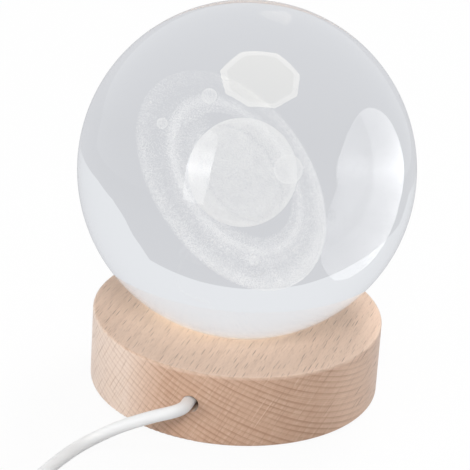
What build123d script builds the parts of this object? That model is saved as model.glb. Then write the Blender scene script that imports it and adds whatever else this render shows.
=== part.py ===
from build123d import *
import os
from math import cos, pi, radians, sin, sqrt, tan

# Crystal ball lamp: a solid glass ball with a ringed planet marked inside it, resting loosely in the
# dish of a turned beech base. The base holds a small light board under a frosted window and stands on
# a soft pad. A thin white cord leaves the back, +Y, and carries a press switch and a USB plug.
# Millimetres, Z up, the origin on the floor at the middle of the base.
os.makedirs("parts", exist_ok=True)

# Glass ball
ball_radius = 40.0
ball_sink = 3.0  # the ball's lowest point lies this far under the top of the wood
seat_gap = 0.3  # between the ball and the dish turned for it

# Wooden base, turned round its light board: outwards from the board come the cavity's wall, a ledge
# for the cover's screws and a rim
board_radius = 17.5
board_room = 6.0  # between the board and the cavity's wall, where the cord is tied
ledge_width = 6.5
rim_width = 5.0
base_height = 18.0
edge_ease = 0.5  # sanded outer edges
recess_depth = 2.5  # for the bottom cover
cavity_depth = 10.0
foot_proud = 0.5  # the pad stands this far out of the wood

cavity_radius = board_radius + board_room
recess_radius = cavity_radius + ledge_width
base_radius = recess_radius + rim_width
base_bottom = foot_proud
base_top = base_bottom + base_height
recess_top = base_bottom + recess_depth
ceiling = recess_top + cavity_depth
ball_centre_height = base_top - ball_sink + ball_radius

# Bottom cover, its screws and the pad under it
pad_inset = 1.0  # from the recess's edge
pad_thickness = 1.0
pad_ease = 0.3
cover_gap = 0.2  # round the cover, in its recess
screw_count = 3
screw_inset = 3.2  # from the cavity's wall
screw_head_radius = 1.9
screw_head_height = 1.0
screw_shank_radius = 0.9
screw_length = 7.0
screw_point = 1.2
screw_clearance = 0.1  # in the holes of cover, lens and shells
thread_clearance = 0.03  # in the pilot holes

# Light board, its lights and the frosted window over them
board_thickness = 1.2
flange_thickness = 1.2
skirt_height = 1.0
skirt_wall = 1.2
window_inset = 3.2  # of the window's bore from the board screws' ring
window_gap = 0.2  # between the window and its bore
window_rise = 1.0  # the window stands up in its bore
led_count = 6
led_ring_radius = 7.0
led_length = 3.5
led_width = 2.8
led_height = 0.7
resistor_ring_radius = 12.0
resistor_angles = (60, 120, 240)
resistor_length = 3.2
resistor_width = 1.6
resistor_height = 0.6
board_screw_inset = 3.3  # from the board's edge
board_screw_count = 2
board_screw_length = 6.0
boss_wall = 1.0
solder_spacing = 4.4
solder_inset = 5.0  # from the board's edge
solder_height = 0.7
solder_radius = 1.0
solder_tip_radius = 0.5

# Cord, and the hole that it comes out of
cord_radius = 1.5
cord_hole_radius = 2.1
cord_hole_height = 10.2
cord_hole_clearance = 0.08  # the cord leans on one side of the hole
cord_lean = 29  # degrees up from +X
cord_inside = 3.5  # reaches this far into the cavity
wire_radius = 0.5
wire_spacing = 1.3
wire_straight = 1.1  # out of the cord's end
wire_upright = 1.6  # up to its solder joint
wire_sag = 1.4  # the wires pass this far under the board
tie_band = 0.9
tie_width = 2.0
tie_squeeze_gap = 0.03
tie_head_length = 2.6
tie_head_height = 3.2

# Marks inside the glass: a planet, two rings round it and four moons. The rings' axis is turned from
# the front, -Y, and tilted up.
planet_radius = 8.5
ring_turn = 24.0
ring_tilt = 12.9
ring_thickness = 0.5
ring_radii = {"engraved_inner_ring": (12.1, 14.4), "engraved_outer_ring": (16.5, 19.2)}
marks_shift = (0.6, 0.2, -0.5)  # of the planet's centre from the ball's
moon_gap = 0.25  # between each moon and the plane of the rings
moons = ((3.8, 14.8, 1.3), (13.7, 4.2, 0.8), (-14.4, 7.4, 2.6), (-1.7, -13.7, 0.7))  # across, up, radius

# Put-away coil: wound inwards on the floor, climbing once, then outwards on top of itself
coil_centre = (0.2, 101.5)
coil_outer_radius = 24.8
coil_pitch = 3.6
coil_climb_step = 1.3  # the half turn that climbs lies this much further in
inward_half_turns = 8
outward_half_turns = 6
coil_tie_thickness = 0.5
coil_tie_width = 4.0
coil_tie_gap = 0.1  # above and below the turns
coil_tie_side_gap = 0.3
coil_tie_angle = 215  # degrees round from +X
coil_tie_corner = 1.6

# Press switch on the cord, lying along X
switch_length = 30.0
switch_width = 14.0
switch_height = 8.0
switch_corner = 6.0
switch_wall = 1.2
switch_top_ease = 1.5
switch_bottom_ease = 0.8
switch_grip = 1.2  # the cord ends this far inside the wall
switch_straight = 3.4  # of cord outside each end
button_radius = 4.0
button_gap = 0.25
button_proud = 1.4
button_ease = 0.6
flange_width = 0.9
button_flange_height = 1.0
button_travel = 1.0
button_stop_gap = 0.1  # left over the contact block when the button is right down
button_stem_radius = 1.2
block_length = 7.0
block_width = 6.6
block_height = 2.4
wire_turn = 2.6  # along the cord, while the uncut wire turns aside to pass the block
switch_screw_x = 9.6
switch_screw_y = 3.7
switch_boss_radius = 1.9
switch_screw_head_radius = 1.2
switch_screw_shank_radius = 0.6
switch_screw_head_height = 0.8
switch_screw_length = 5.6
button_rest_gap = 0.2  # between the button's flange and the top wall

# USB plug, lying flat and pointing to -Y
mould_length = 20.0
mould_width = 15.6
mould_height = 8.0
mould_corner = 2.5
mould_ease = 1.0
relief_length = 11.0
relief_radius = 3.3  # where it leaves the body
relief_tip_radius = 2.3
relief_groove_width = 0.9
relief_groove_depth = 0.7
relief_groove_pitch = 2.2
relief_groove_count = 4
shell_width = 12.0
shell_height = 4.5
shell_wall = 0.3
shell_corner = 0.6
shell_length = 12.0
shell_insert = 3.0  # the part held in the moulding
shell_fit = 0.03
window_side = 2.3  # square holes that latch in the socket
window_from_mouth = 5.2
window_spacing = 5.0
tongue_thickness = 1.85
tongue_side_gap = 0.15
tongue_setback = 0.6
contact_width = 1.0
contact_length = 7.0
contact_thickness = 0.15
contact_pitch = 2.2
contact_setback = 1.2  # from the shell's mouth
contact_count = 4

cut_over = 1.0  # how far a cut runs past the face that it opens
bend_share = 0.45  # of the shorter run beside a corner

# Rings of screws, and the window's bore
pad_radius = recess_radius - pad_inset
screw_ring_radius = cavity_radius + screw_inset
board_screw_ring_radius = board_radius - board_screw_inset
window_bore_radius = board_screw_ring_radius - window_inset

# The ends of the cord's stretches
cord_slack = cord_hole_radius - cord_radius - cord_hole_clearance
cord_x = cord_slack * cos(radians(cord_lean))
cord_height = cord_hole_height + cord_slack * sin(radians(cord_lean))
cord_diameter = 2 * cord_radius
wire_diameter = 2 * wire_radius
coil_height = coil_tie_thickness + coil_tie_gap + cord_radius
coil_top_height = coil_height + coil_pitch
coil_inner_radius = coil_outer_radius - inward_half_turns * coil_pitch / 2
coil_start = (coil_centre[0] + coil_outer_radius, coil_centre[1] - cord_diameter, coil_height)
coil_end_radius = coil_inner_radius + (outward_half_turns + 1 / 2) * coil_pitch / 2
coil_end = (coil_centre[0] + cord_diameter, coil_centre[1] - coil_end_radius, coil_top_height)
switch_centre = (-3.0, 135.5)
switch_axis_height = switch_height / 2
switch_reach = switch_length / 2 - switch_wall - switch_grip
plug_start = (-33.5, 109.5, mould_height / 2)

# The cord's route, end to end, apart from the coil
lead_route = [
    (cord_x, base_radius, cord_height),
    (cord_x, 37.9, cord_height),
    (2.2, 40.2, 10.15),
    (6.7, 41.3, 8.6),
    (13.8, 42.6, 5.2),
    (18.3, 45.0, 2.8),
    (21.6, 49.2, 1.5),
    (23.4, 56.4, 1.5),
    (24.7, 64.5, 1.5),
    (25.7, 74.5, 1.5),
    (25.7, 85.0, 1.5),
    (coil_start[0], 93.2, coil_start[2]),
    coil_start,
]
tail_route = [
    coil_end,
    (12.0, coil_end[1], coil_end[2]),
    (18.6, 79.3, 6.0),
    (25.0, 80.7, 6.0),
    (29.8, 85.4, 5.0),
    (32.0, 92.2, 2.7),
    (31.3, 101.2, 1.5),
    (31.6, 111.5, 1.5),
    (30.2, 121.3, 1.5),
    (26.2, 129.0, 1.6),
    (20.0, 133.9, 2.6),
    (switch_centre[0] + switch_length / 2 + switch_straight, switch_centre[1], switch_axis_height),
    (switch_centre[0] + switch_reach, switch_centre[1], switch_axis_height),
]
end_route = [
    (switch_centre[0] - switch_reach, switch_centre[1], switch_axis_height),
    (switch_centre[0] - switch_length / 2 - switch_straight, switch_centre[1], switch_axis_height),
    (-27.0, 133.9, 3.1),
    (-31.2, 129.9, 2.0),
    (-33.4, 124.4, 1.7),
    (-33.9, 118.9, 2.5),
    (plug_start[0], 113.5, plug_start[2]),
    plug_start,
]


def save(part, label):
    part.label = label
    export_step(part, f"parts/{label}.step")


def corner_radii(points):
    # Each bend is as large as the two runs beside it allow
    runs = [Vector(*end) - Vector(*start) for start, end in zip(points, points[1:])]
    radii = []
    for before, after in zip(runs, runs[1:]):
        half_turn = radians(before.get_angle(after)) / 2
        radii.append(bend_share * min(before.length, after.length) / tan(half_turn))
    return radii


def tube(label, points, radius):
    radii = corner_radii(points)
    with BuildPart() as solid:
        with BuildLine() as path:
            FilletPolyline(*points, radius=radii)
        with BuildSketch(Plane(origin=path.line @ 0, z_dir=path.line % 0)):
            Circle(radius)
        sweep()
    length = path.wires()[0].length
    print(label, "length", round(length, 1), "radii in diameters",
          [round(bend / (2 * radius), 1) for bend in radii],
          "volume over section times length", round(solid.part.volume / (pi * radius**2 * length), 4))
    return solid.part


def turned(points):
    # One piece turned about Z, from its half outline of radius and height
    with BuildPart() as piece:
        with BuildSketch(Plane.XZ):
            with BuildLine():
                Polyline(*points, close=True)
            make_face()
        revolve(axis=Axis.Z)
    return piece.part


def screw(head_radius, head_height, shank_radius, length, point):
    # Sunk head at the bottom, point up
    return turned([(0, 0), (head_radius, 0), (shank_radius, head_height), (shank_radius, length - point),
                   (0, length)])


def pan_screw(head_radius, head_height, shank_radius, length, point):
    return turned([(0, 0), (head_radius, 0), (head_radius, head_height), (shank_radius, head_height),
                   (shank_radius, length - point), (0, length)])


def group(piece, places):
    with BuildPart() as copies:
        with Locations(*places):
            add(piece)
    return copies.part


# Wooden base, turned in one piece
with BuildPart() as wood_base:
    with BuildSketch(Plane.XZ):
        with BuildLine():
            Polyline((recess_radius, base_bottom), (base_radius, base_bottom), (base_radius, base_top),
                     (window_bore_radius, base_top), (window_bore_radius, ceiling),
                     (cavity_radius, ceiling), (cavity_radius, recess_top), (recess_radius, recess_top),
                     close=True)
        make_face()
    revolve(axis=Axis.Z)
    outer_edges = wood_base.edges().filter_by(GeomType.CIRCLE).group_by(SortBy.RADIUS)[-1]
    fillet(outer_edges, edge_ease)
    with Locations((0, 0, ball_centre_height)):
        Sphere(ball_radius + seat_gap, mode=Mode.SUBTRACT)
    with BuildSketch(Plane(origin=(0, 0, cord_hole_height), x_dir=(1, 0, 0), z_dir=(0, 1, 0))):
        Circle(cord_hole_radius)
    extrude(amount=base_radius + cut_over, mode=Mode.SUBTRACT)
    with BuildSketch(Plane.XY.offset(recess_top)):
        with PolarLocations(screw_ring_radius, screw_count):
            Circle(screw_shank_radius + thread_clearance)
    extrude(amount=screw_length, mode=Mode.SUBTRACT)
    with BuildSketch(Plane.XY.offset(ceiling)):
        with PolarLocations(board_screw_ring_radius, board_screw_count):
            Circle(screw_shank_radius + thread_clearance)
    extrude(amount=board_screw_length - board_thickness - skirt_height - flange_thickness + thread_clearance,
            mode=Mode.SUBTRACT)
save(wood_base.part, "wood_base")

# Marks inside the glass, on the plane of the rings
ball_centre = Vector(0, 0, ball_centre_height)
turn, tilt = radians(ring_turn), radians(ring_tilt)
ring_plane = Plane(
    origin=ball_centre + Vector(*marks_shift),
    x_dir=(cos(turn), -sin(turn), 0),
    z_dir=(-sin(turn) * cos(tilt), -cos(turn) * cos(tilt), sin(tilt)),
)

with BuildPart() as engraved_planet:
    with Locations(ring_plane):
        Sphere(planet_radius)
save(engraved_planet.part, "engraved_planet")

rings = []
for ring_name, (ring_inner, ring_outer) in ring_radii.items():
    with BuildPart() as ring:
        with BuildSketch(ring_plane):
            Circle(ring_outer)
            Circle(ring_inner, mode=Mode.SUBTRACT)
        extrude(amount=ring_thickness / 2, both=True)
    save(ring.part, ring_name)
    rings.append(ring.part)

with BuildPart() as engraved_moons:
    for moon_x, moon_y, moon_radius in moons:
        moon_depth = ring_thickness / 2 + moon_gap + moon_radius
        with Locations(ring_plane * Location((moon_x, moon_y, -moon_depth))):
            Sphere(moon_radius)
save(engraved_moons.part, "engraved_moons")

# The glass is solid round the marks
with BuildPart() as crystal_ball:
    with Locations(ball_centre):
        Sphere(ball_radius)
    add(engraved_planet.part, mode=Mode.SUBTRACT)
    for ring_part in rings:
        add(ring_part, mode=Mode.SUBTRACT)
    add(engraved_moons.part, mode=Mode.SUBTRACT)
save(crystal_ball.part, "crystal_ball")

# Foot pad and bottom cover
with BuildPart() as foot_pad:
    with BuildSketch():
        Circle(pad_radius)
    extrude(amount=pad_thickness)
    chamfer(foot_pad.faces().sort_by(Axis.Z)[0].edges(), pad_ease)
save(foot_pad.part, "foot_pad")

cover_thickness = recess_top - pad_thickness
with BuildPart() as bottom_cover:
    with BuildSketch(Plane.XY.offset(pad_thickness)):
        Circle(recess_radius - cover_gap)
    extrude(amount=cover_thickness)
    with Locations(Plane(origin=(0, 0, pad_thickness), x_dir=(1, 0, 0), z_dir=(0, 0, -1))):
        with PolarLocations(screw_ring_radius, screw_count):
            CounterSinkHole(screw_shank_radius + screw_clearance, screw_head_radius + screw_clearance,
                            depth=cover_thickness)
save(bottom_cover.part, "bottom_cover")

cover_screw = screw(screw_head_radius, screw_head_height, screw_shank_radius, screw_length, screw_point)
screw_places = PolarLocations(screw_ring_radius, screw_count).locations
save(group(cover_screw, [Location((0, 0, pad_thickness)) * place for place in screw_places]), "cover_screws")

# Light board with its lights, resistors and solder joints
board_top = ceiling - flange_thickness - skirt_height
board_bottom = board_top - board_thickness
with BuildPart() as led_board:
    with BuildSketch(Plane.XY.offset(board_bottom)):
        Circle(board_radius)
        with PolarLocations(board_screw_ring_radius, board_screw_count):
            Circle(screw_shank_radius + screw_clearance, mode=Mode.SUBTRACT)
    extrude(amount=board_thickness)
save(led_board.part, "led_board")

with BuildPart() as leds:
    with BuildSketch(Plane.XY.offset(board_top)):
        Rectangle(led_length, led_width)
        with PolarLocations(led_ring_radius, led_count):
            Rectangle(led_length, led_width)
    extrude(amount=led_height)
save(leds.part, "leds")

with BuildPart() as resistors:
    with BuildSketch(Plane.XY.offset(board_top)):
        for resistor_angle in resistor_angles:
            with PolarLocations(resistor_ring_radius, 1, start_angle=resistor_angle):
                Rectangle(resistor_width, resistor_length)
    extrude(amount=resistor_height)
save(resistors.part, "resistors")

# Frosted window, with a skirt that stands on the board and a boss round each board screw
with BuildPart() as lens_cover:
    with BuildSketch(Plane.XY.offset(board_top)):
        Circle(board_radius)
    extrude(amount=skirt_height + flange_thickness)
    with BuildSketch(Plane.XY.offset(board_top)):
        Circle(board_radius - skirt_wall)
        with PolarLocations(board_screw_ring_radius, board_screw_count):
            Circle(screw_shank_radius + screw_clearance + boss_wall, mode=Mode.SUBTRACT)
    extrude(amount=skirt_height, mode=Mode.SUBTRACT)
    with BuildSketch(Plane.XY.offset(ceiling)):
        Circle(window_bore_radius - window_gap)
    extrude(amount=window_rise)
    with BuildSketch(Plane.XY.offset(board_top)):
        with PolarLocations(board_screw_ring_radius, board_screw_count):
            Circle(screw_shank_radius + screw_clearance)
    extrude(amount=skirt_height + flange_thickness, mode=Mode.SUBTRACT)
save(lens_cover.part, "lens_cover")

board_screw = pan_screw(screw_head_radius, screw_head_height, screw_shank_radius,
                        board_screw_length + screw_head_height, screw_point)
board_screw_places = PolarLocations(board_screw_ring_radius, board_screw_count).locations
under_board = Location((0, 0, board_bottom - screw_head_height))
save(group(board_screw, [under_board * place for place in board_screw_places]), "board_screws")

solder_y = board_radius - solder_inset
solder_bottom = board_bottom - solder_height
solder_joint = turned([(0, 0), (solder_tip_radius, 0), (solder_radius, solder_height), (0, solder_height)])
solder_xs = (cord_x + solder_spacing / 2, cord_x - solder_spacing / 2)
save(group(solder_joint, [Location((x, solder_y, solder_bottom)) for x in solder_xs]), "solder_joints")

# Cord and wires inside the base
cord_inner_end = cavity_radius - cord_inside
with BuildPart() as cord_inner:
    with BuildSketch(Plane(origin=(cord_x, cord_inner_end, cord_height), x_dir=(1, 0, 0), z_dir=(0, 1, 0))):
        Circle(cord_radius)
    extrude(amount=base_radius - cord_inner_end)
save(cord_inner.part, "cord_inner")

wire_drop = board_bottom - wire_sag
wire_xs = (cord_x + wire_spacing / 2, cord_x - wire_spacing / 2)
for wire_name, wire_x, solder_x in zip(("red_wire", "black_wire"), wire_xs, solder_xs):
    wire_route = [
        (wire_x, cord_inner_end, cord_height),
        (wire_x, cord_inner_end - wire_straight, cord_height),
        (wire_x, board_radius + wire_radius, wire_drop - wire_radius),
        (solder_x, solder_y, solder_bottom - wire_upright),
        (solder_x, solder_y, solder_bottom),
    ]
    save(tube(wire_name, wire_route, wire_radius), wire_name)

# Cable tie that stops the cord from being pulled out
tie_plane = Plane(origin=(cord_x, cord_inner_end + tie_squeeze_gap, cord_height), x_dir=(1, 0, 0),
                  z_dir=(0, 1, 0))
with BuildPart() as cable_tie:
    with BuildSketch(tie_plane):
        Circle(cord_radius + tie_squeeze_gap + tie_band)
        with Locations((cord_radius + tie_band + tie_head_length / 2, 0)):
            Rectangle(tie_head_length, tie_head_height)
        Circle(cord_radius + tie_squeeze_gap, mode=Mode.SUBTRACT)
    extrude(amount=tie_width)
save(cable_tie.part, "cable_tie")

# Free stretches of the cord
save(tube("cord_lead", lead_route, cord_radius), "cord_lead")
save(tube("cord_tail", tail_route, cord_radius), "cord_tail")
save(tube("cord_end", end_route, cord_radius), "cord_end")


def coil_stations():
    # Places and directions at each half turn, and at the last quarter turn
    centre = Vector(*coil_centre)
    halves = inward_half_turns + 1 + outward_half_turns
    for number in range(halves + 1):
        outward = max(0, number - inward_half_turns - 1)
        radius = coil_outer_radius - (min(number, inward_half_turns) - outward) * coil_pitch / 2
        if number == inward_half_turns + 1:
            radius -= coil_climb_step
        height = coil_height if number <= inward_half_turns else coil_top_height
        side = (-1) ** number
        yield centre + Vector(side * radius, 0, height), Vector(0, side, 0)
    yield centre + Vector(0, -coil_end_radius, coil_top_height), Vector(1, 0, 0)


def biarc_joint(start, start_way, end, end_way):
    # Where two arcs that keep both directions meet
    across = end - start
    ways = start_way + end_way
    turn_share = 1 - start_way.dot(end_way)
    lean = across.dot(ways)
    reach = (-lean + sqrt(lean**2 + 2 * turn_share * across.dot(across))) / (2 * turn_share)
    near, far = start + start_way * reach, end - end_way * reach
    return (near + far) / 2, (far - near).normalized()


def least_self_gap(wire, samples_per_turn):
    turns = (inward_half_turns + 1 + outward_half_turns) / 2
    count = int(turns * samples_per_turn)
    points = [wire @ (step / count) for step in range(count + 1)]
    apart = samples_per_turn // 2
    gaps = [(points[a] - points[b]).length for a in range(count) for b in range(a + apart, count + 1)]
    return min(gaps) - cord_diameter


stations = list(coil_stations())
with BuildPart() as cord_coil:
    with BuildLine() as coil_path:
        Line(coil_start, stations[0][0])
        for (place, way), (next_place, next_way) in zip(stations, stations[1:]):
            joint, joint_way = biarc_joint(place, way, next_place, next_way)
            TangentArc(place, joint, tangent=way)
            TangentArc(joint, next_place, tangent=joint_way)
        Line(stations[-1][0], coil_end)
    with BuildSketch(Plane(origin=coil_start, z_dir=(0, 1, 0))):
        Circle(cord_radius)
    sweep()
save(cord_coil.part, "cord_coil")
coil_wire = coil_path.wires()[0]
print("cord_coil length", round(coil_wire.length, 1), "least gap to itself",
      round(least_self_gap(coil_wire, 60), 2), "volume over section times length",
      round(cord_coil.part.volume / (pi * cord_radius**2 * coil_wire.length), 4))

# Flat tie round the coil, flat on the floor
tie_turn = radians(coil_tie_angle)
coil_middle_radius = (coil_inner_radius - coil_climb_step + coil_outer_radius) / 2
tie_inner_length = (coil_outer_radius - coil_inner_radius + coil_climb_step + cord_diameter
                    + 2 * coil_tie_side_gap)
tie_inner_height = coil_pitch + cord_diameter + 2 * coil_tie_gap
coil_tie_plane = Plane(
    origin=(coil_centre[0] + coil_middle_radius * cos(tie_turn),
            coil_centre[1] + coil_middle_radius * sin(tie_turn),
            coil_tie_thickness + tie_inner_height / 2),
    x_dir=(cos(tie_turn), sin(tie_turn), 0),
    z_dir=(sin(tie_turn), -cos(tie_turn), 0),
)
with BuildPart() as coil_tie:
    with BuildSketch(coil_tie_plane):
        RectangleRounded(tie_inner_length + 2 * coil_tie_thickness, tie_inner_height + 2 * coil_tie_thickness,
                         coil_tie_corner)
        RectangleRounded(tie_inner_length, tie_inner_height, coil_tie_corner - coil_tie_thickness,
                         mode=Mode.SUBTRACT)
    extrude(amount=coil_tie_width / 2, both=True)
save(coil_tie.part, "coil_tie")

# Press switch: two shells, screwed together from below
switch_floor = Plane(origin=(*switch_centre, 0))
switch_split = switch_floor.offset(switch_axis_height)
boss_places = [(switch_screw_x, -switch_screw_y), (-switch_screw_x, switch_screw_y)]
cord_notch = Plane(
    origin=(switch_centre[0] - switch_length / 2 - cut_over, switch_centre[1], switch_axis_height),
    z_dir=(1, 0, 0),
)
inner_length, inner_width = switch_length - 2 * switch_wall, switch_width - 2 * switch_wall
inner_corner = switch_corner - switch_wall

with BuildPart() as switch_lower_shell:
    with BuildSketch(switch_floor):
        RectangleRounded(switch_length, switch_width, switch_corner)
    extrude(amount=switch_axis_height)
    fillet(switch_lower_shell.faces().sort_by(Axis.Z)[0].edges(), switch_bottom_ease)
    with BuildSketch(switch_floor.offset(switch_wall)):
        RectangleRounded(inner_length, inner_width, inner_corner)
        with Locations(*boss_places):
            Circle(switch_boss_radius, mode=Mode.SUBTRACT)
    extrude(amount=switch_axis_height, mode=Mode.SUBTRACT)
    with BuildSketch(cord_notch):
        Circle(cord_radius)
    extrude(amount=switch_length + 2 * cut_over, mode=Mode.SUBTRACT)
    with Locations(Plane(origin=(*switch_centre, 0), x_dir=(1, 0, 0), z_dir=(0, 0, -1))):
        with Locations(*[(x, -y) for x, y in boss_places]):
            CounterBoreHole(switch_screw_shank_radius + screw_clearance,
                            switch_screw_head_radius + screw_clearance,
                            switch_screw_head_height + screw_clearance, depth=switch_axis_height)
save(switch_lower_shell.part, "switch_lower_shell")

with BuildPart() as switch_upper_shell:
    with BuildSketch(switch_split):
        RectangleRounded(switch_length, switch_width, switch_corner)
    extrude(amount=switch_height - switch_axis_height)
    fillet(switch_upper_shell.faces().sort_by(Axis.Z)[-1].edges(), switch_top_ease)
    with BuildSketch(switch_split):
        RectangleRounded(inner_length, inner_width, inner_corner)
        with Locations(*boss_places):
            Circle(switch_boss_radius, mode=Mode.SUBTRACT)
    extrude(amount=switch_height - switch_axis_height - switch_wall, mode=Mode.SUBTRACT)
    with BuildSketch(cord_notch):
        Circle(cord_radius)
    extrude(amount=switch_length + 2 * cut_over, mode=Mode.SUBTRACT)
    with BuildSketch(switch_split):
        Circle(button_radius + button_gap)
    extrude(amount=switch_height, mode=Mode.SUBTRACT)
    with BuildSketch(switch_split):
        with Locations(*boss_places):
            Circle(switch_screw_shank_radius + thread_clearance)
    extrude(amount=switch_screw_length + screw_clearance + switch_screw_head_height - switch_axis_height,
            mode=Mode.SUBTRACT)
save(switch_upper_shell.part, "switch_upper_shell")

flange_top = switch_height - switch_wall - button_rest_gap
flange_bottom = flange_top - button_flange_height
block_top = switch_wall + block_height
stem_bottom = block_top + button_travel + button_stop_gap
with BuildPart() as switch_button:
    with BuildSketch(switch_floor.offset(flange_top)):
        Circle(button_radius)
    extrude(amount=switch_height + button_proud - flange_top)
    fillet(switch_button.faces().sort_by(Axis.Z)[-1].edges(), button_ease)
    with BuildSketch(switch_floor.offset(flange_bottom)):
        Circle(button_radius + flange_width)
    extrude(amount=button_flange_height)
    with BuildSketch(switch_floor.offset(stem_bottom)):
        Circle(button_stem_radius)
    extrude(amount=flange_bottom - stem_bottom)
save(switch_button.part, "switch_button")

with BuildPart() as switch_block:
    with BuildSketch(switch_floor.offset(switch_wall)):
        Rectangle(block_length, block_width)
    extrude(amount=block_height)
save(switch_block.part, "switch_block")

switch_screw = pan_screw(switch_screw_head_radius, switch_screw_head_height, switch_screw_shank_radius,
                         switch_screw_length, switch_screw_head_height)
switch_screw_places = [Location((switch_centre[0] + x, switch_centre[1] + y, screw_clearance))
                       for x, y in boss_places]
save(group(switch_screw, switch_screw_places), "switch_screws")

# One wire is cut and goes to the block, the other passes beside it, below the button's way
switch_wire_run = switch_reach - block_length / 2
wire_ends = (-switch_reach, block_length / 2)
red_wire_height = switch_axis_height - wire_spacing / 2
with BuildPart() as switch_red_wires:
    for wire_end in wire_ends:
        red_start = (switch_centre[0] + wire_end, switch_centre[1], red_wire_height)
        with BuildSketch(Plane(origin=red_start, z_dir=(1, 0, 0))):
            Circle(wire_radius)
        extrude(amount=switch_wire_run)
save(switch_red_wires.part, "switch_red_wires")

black_height = switch_axis_height + wire_spacing / 2
black_low = flange_bottom - button_travel - wire_diameter
black_side = switch_centre[1] + block_width / 2 + wire_diameter
beside_block = block_length / 2 + wire_diameter
off_block = beside_block + wire_turn
black_route = [
    (switch_centre[0] - switch_reach, switch_centre[1], black_height),
    (switch_centre[0] - switch_reach + wire_diameter, switch_centre[1], black_height),
    (switch_centre[0] - off_block, switch_centre[1] + wire_diameter, (black_height + black_low) / 2),
    (switch_centre[0] - beside_block, black_side, black_low),
    (switch_centre[0] + beside_block, black_side, black_low),
    (switch_centre[0] + off_block, switch_centre[1] + wire_diameter, (black_height + black_low) / 2),
    (switch_centre[0] + switch_reach - wire_diameter, switch_centre[1], black_height),
    (switch_centre[0] + switch_reach, switch_centre[1], black_height),
]
save(tube("switch_black_wire", black_route, wire_radius), "switch_black_wire")

# USB plug. Each plane looks along the plug, from the cord to the mouth, with X across and Y up.
plug_y = plug_start[1]


def plug_plane(distance):
    return Plane(origin=(plug_start[0], plug_y - distance, plug_start[2]), x_dir=(-1, 0, 0), z_dir=(0, -1, 0))


mould_end = relief_length + mould_length
shell_start = mould_end - shell_insert
shell_mouth = mould_end + shell_length
with BuildPart() as plug_moulding:
    with BuildSketch(plug_plane(relief_length)):
        RectangleRounded(mould_width, mould_height, mould_corner)
    extrude(amount=mould_length)
    end_faces = plug_moulding.faces().sort_by(Axis.Y)
    fillet(end_faces[0].edges() + end_faces[-1].edges(), mould_ease)
    with BuildSketch(plug_plane(0)):
        Circle(relief_tip_radius)
    with BuildSketch(plug_plane(relief_length)):
        Circle(relief_radius)
    loft()
    for groove in range(relief_groove_count):
        groove_start = (groove + 1) * relief_groove_pitch - relief_groove_width / 2
        with BuildSketch(plug_plane(groove_start)):
            Circle(relief_radius + cut_over)
            Circle(relief_tip_radius - relief_groove_depth
                   + (relief_radius - relief_tip_radius) * groove_start / relief_length,
                   mode=Mode.SUBTRACT)
        extrude(amount=relief_groove_width, mode=Mode.SUBTRACT)
    with BuildSketch(plug_plane(shell_start)):
        RectangleRounded(shell_width + 2 * shell_fit, shell_height + 2 * shell_fit, shell_corner + shell_fit)
    extrude(amount=shell_insert + cut_over, mode=Mode.SUBTRACT)
save(plug_moulding.part, "plug_moulding")

inner_shell_width, inner_shell_height = shell_width - 2 * shell_wall, shell_height - 2 * shell_wall
with BuildPart() as plug_shell:
    with BuildSketch(plug_plane(shell_start)):
        RectangleRounded(shell_width, shell_height, shell_corner)
        RectangleRounded(inner_shell_width, inner_shell_height, shell_corner - shell_wall, mode=Mode.SUBTRACT)
    extrude(amount=shell_insert + shell_length)
    latch_plane = Plane(origin=(plug_start[0], plug_y - shell_mouth + window_from_mouth, 0))
    with BuildSketch(latch_plane):
        with GridLocations(window_spacing, 0, 2, 1):
            Rectangle(window_side, window_side)
    extrude(amount=mould_height, mode=Mode.SUBTRACT)
save(plug_shell.part, "plug_shell")

tongue_drop = (inner_shell_height - tongue_thickness) / 2
with BuildPart() as plug_tongue:
    with BuildSketch(plug_plane(shell_start)):
        Rectangle(inner_shell_width - 2 * tongue_side_gap, inner_shell_height - 2 * shell_fit)
    extrude(amount=shell_insert)
    with BuildSketch(plug_plane(mould_end)):
        with Locations((0, -tongue_drop + shell_fit)):
            Rectangle(inner_shell_width - 2 * tongue_side_gap, tongue_thickness)
    extrude(amount=shell_length - tongue_setback)
save(plug_tongue.part, "plug_tongue")

contact_height = tongue_thickness - inner_shell_height / 2 + shell_fit + contact_thickness / 2
with BuildPart() as plug_contacts:
    with BuildSketch(plug_plane(shell_mouth - contact_setback - contact_length)):
        with Locations((0, contact_height)):
            with GridLocations(contact_pitch, 0, contact_count, 1):
                Rectangle(contact_width, contact_thickness)
    extrude(amount=contact_length)
save(plug_contacts.part, "plug_contacts")
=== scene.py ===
import bpy
import bmesh
from math import atan2, cos, pi, radians, sin, sqrt
from mathutils import Matrix, Vector


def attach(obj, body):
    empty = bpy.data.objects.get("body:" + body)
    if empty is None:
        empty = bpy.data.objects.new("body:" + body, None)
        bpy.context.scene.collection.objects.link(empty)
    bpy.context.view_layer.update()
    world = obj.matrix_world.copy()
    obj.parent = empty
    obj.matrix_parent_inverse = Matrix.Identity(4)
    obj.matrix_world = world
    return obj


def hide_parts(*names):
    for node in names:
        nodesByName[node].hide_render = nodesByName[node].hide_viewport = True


# Crystal ball lamp seen from behind: a clear ball with a ringed planet of laser dots inside, on a
# turned beech base, with its thin white cord, press switch and plug. Metres, Z up, cord towards +Y.
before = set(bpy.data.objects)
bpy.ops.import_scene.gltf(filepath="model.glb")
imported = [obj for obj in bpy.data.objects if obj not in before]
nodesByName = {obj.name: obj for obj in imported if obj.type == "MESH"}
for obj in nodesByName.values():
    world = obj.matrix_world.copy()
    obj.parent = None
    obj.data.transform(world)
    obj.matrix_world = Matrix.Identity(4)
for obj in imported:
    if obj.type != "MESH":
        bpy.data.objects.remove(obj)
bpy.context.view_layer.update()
mm = 0.001

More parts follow.
